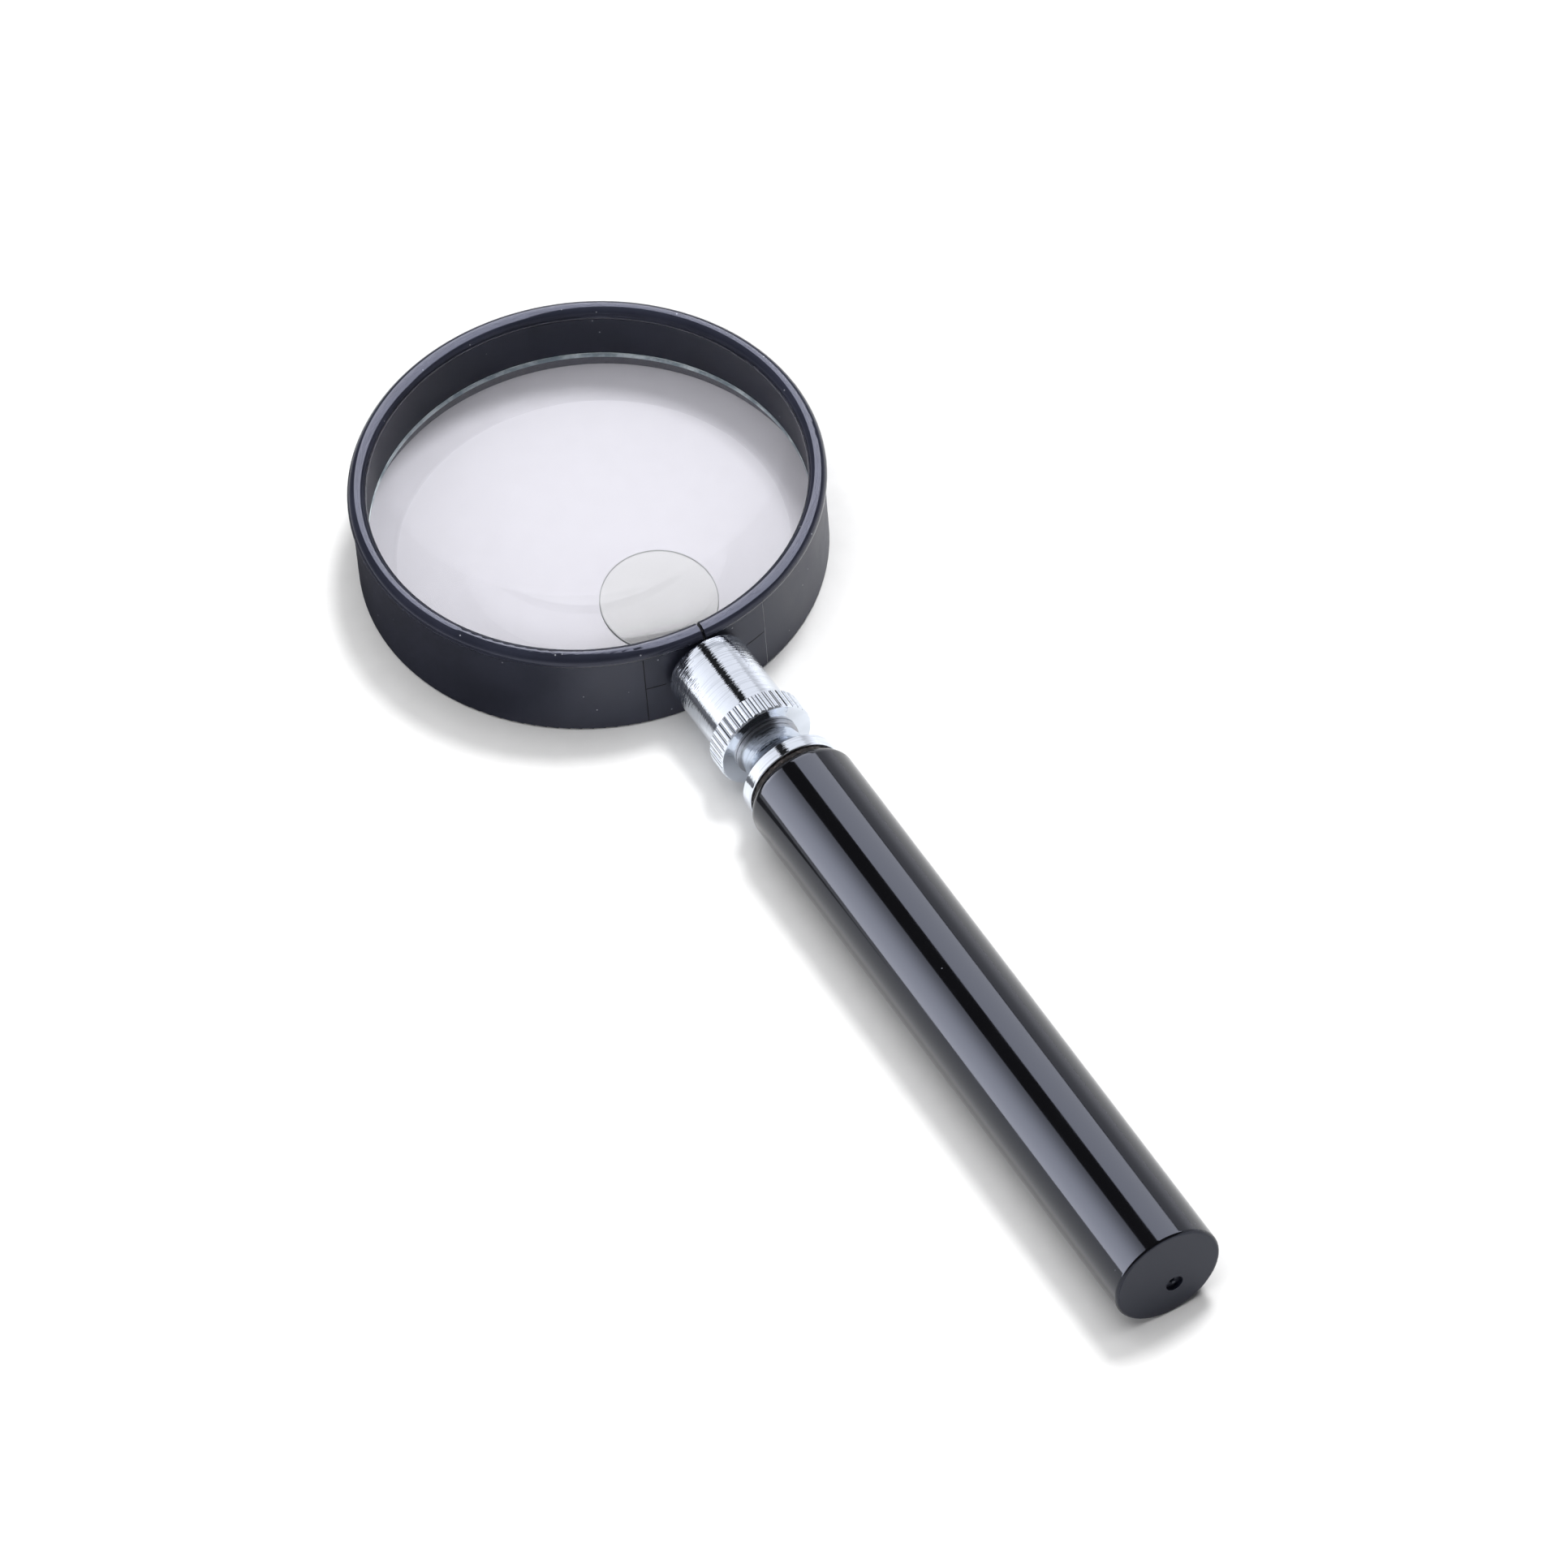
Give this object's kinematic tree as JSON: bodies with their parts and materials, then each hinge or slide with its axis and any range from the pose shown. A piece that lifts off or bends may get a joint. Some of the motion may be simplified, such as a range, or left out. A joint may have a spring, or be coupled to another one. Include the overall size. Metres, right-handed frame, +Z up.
{
  "type": "magnifying glass",
  "caption": "Hand magnifier with a round lens in a split black rim, a cemented reading segment, a knurled metal clamp ferrule and a round black grip.",
  "frame": {"origin": "centre of the rim's foot circle, straight below the centre of the lens, on the plane that the part lies on", "axes": "+Z up along the optical axis, -Y from the lens towards the butt of the grip, +X across the handle"},
  "size_m": [0.063, 0.18, 0.015],
  "materials": {
    "rim_plastic": "satin moulded black, gloss on the bead",
    "lens_glass": "polished clear",
    "segment_glass": "polished clear",
    "chromed_ferrule": "bright chrome over fine turning marks",
    "steel_washer": "plain",
    "chromed_neck": "bright chrome",
    "steel_screw": "zinc plated",
    "adhesive": "cured, uneven",
    "grip_plastic": "polished black, satin butt"
  },
  "bodies": {
    "lens_head": {"lens_rim": "rim_plastic", "main_lens": "lens_glass", "bifocal_lens": "segment_glass"},
    "swivel_washer": {"thrust_washer": "steel_washer"},
    "ferrule": {"clamp_ferrule": "chromed_ferrule"},
    "handle": {"neck": "chromed_neck", "neck_screw": "steel_screw", "adhesive_ring": "adhesive", "handle_grip": "grip_plastic"}
  },
  "joints": [
    {"name": "ferrule_travel", "type": "slide", "parent": "lens_head", "child": "swivel_washer", "axis": [0, -1, 0], "range_m": [0, 0.009]},
    {"name": "ferrule_turn", "type": "hinge", "parent": "swivel_washer", "child": "ferrule", "pos_m": [0, -0.045, 0.0075], "axis": [0, -1, 0], "range_deg": [0, 2160]},
    {"name": "handle_swivel", "type": "hinge", "parent": "swivel_washer", "child": "handle", "pos_m": [0, -0.045, 0.0075], "axis": [0, -1, 0], "continuous": true}
  ],
  "couplings": [
    {"joint": "ferrule_turn", "follows": "ferrule_travel", "rad_per_m": 4188.8}
  ]
}
